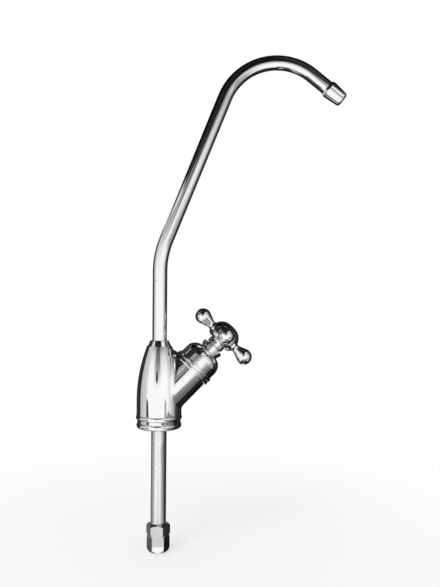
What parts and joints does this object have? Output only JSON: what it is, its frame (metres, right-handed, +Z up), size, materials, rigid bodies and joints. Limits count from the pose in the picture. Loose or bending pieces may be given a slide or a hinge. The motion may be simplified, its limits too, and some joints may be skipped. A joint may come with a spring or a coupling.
{
  "type": "water tap",
  "caption": "Swivelling drinking-water tap: gooseneck spout, angled quarter-turn valve with a cross handle, and a threaded shank with nuts that clamps it in a counter hole.",
  "frame": {"origin": "centre of the underside of the foot ring, where the tap stands on the counter, on the axis of the shank", "axes": "+Z up along the shank, the body and the spout's swivel; +X the way the valve branch leans; the spout rests turned 10 degrees from +X towards -Y"},
  "size_m": [0.1467, 0.0541, 0.3544],
  "materials": {
    "polished_chrome": "polished",
    "satin_chrome": "satin",
    "brass": "machined",
    "stainless_steel": "plain",
    "black_rubber": "matte",
    "white_nylon": "matte",
    "white_ceramic": "lapped",
    "grey_plastic": "matte"
  },
  "bodies": {
    "valve": {"valve_body": "polished_chrome", "base_ring": "polished_chrome", "base_seal": "black_rubber", "threaded_shank": "satin_chrome", "shank_seal": "black_rubber", "mounting_nut": "satin_chrome", "compression_nut": "satin_chrome", "ferrule": "brass", "spout_collar": "polished_chrome", "upper_slip_washer": "white_nylon", "lower_slip_washer": "white_nylon", "cartridge_housing": "brass", "cartridge_seat_seal": "black_rubber", "cartridge_oring": "black_rubber", "fixed_disc": "white_ceramic", "thrust_washer": "white_nylon", "bonnet_cover": "polished_chrome", "bonnet_nut": "polished_chrome"},
    "handle": {"spindle": "brass", "moving_disc": "white_ceramic", "spindle_orings": "black_rubber", "spindle_clip": "stainless_steel", "cross_handle": "polished_chrome", "handle_screw": "stainless_steel", "handle_cap": "polished_chrome"},
    "spout": {"spout_tube": "polished_chrome", "spout_spigot": "brass", "spout_orings": "black_rubber", "spout_tip": "polished_chrome", "flow_straightener": "grey_plastic"}
  },
  "joints": [
    {"name": "handle_turn", "type": "hinge", "parent": "valve", "child": "handle", "pos_m": [0, 0, 0.0185], "axis": [0.7071, 0, 0.7071], "range_deg": [0, 90]},
    {"name": "spout_swivel", "type": "hinge", "parent": "valve", "child": "spout", "pos_m": [0, 0, 0.05], "axis": [0, 0, 1], "continuous": true}
  ]
}
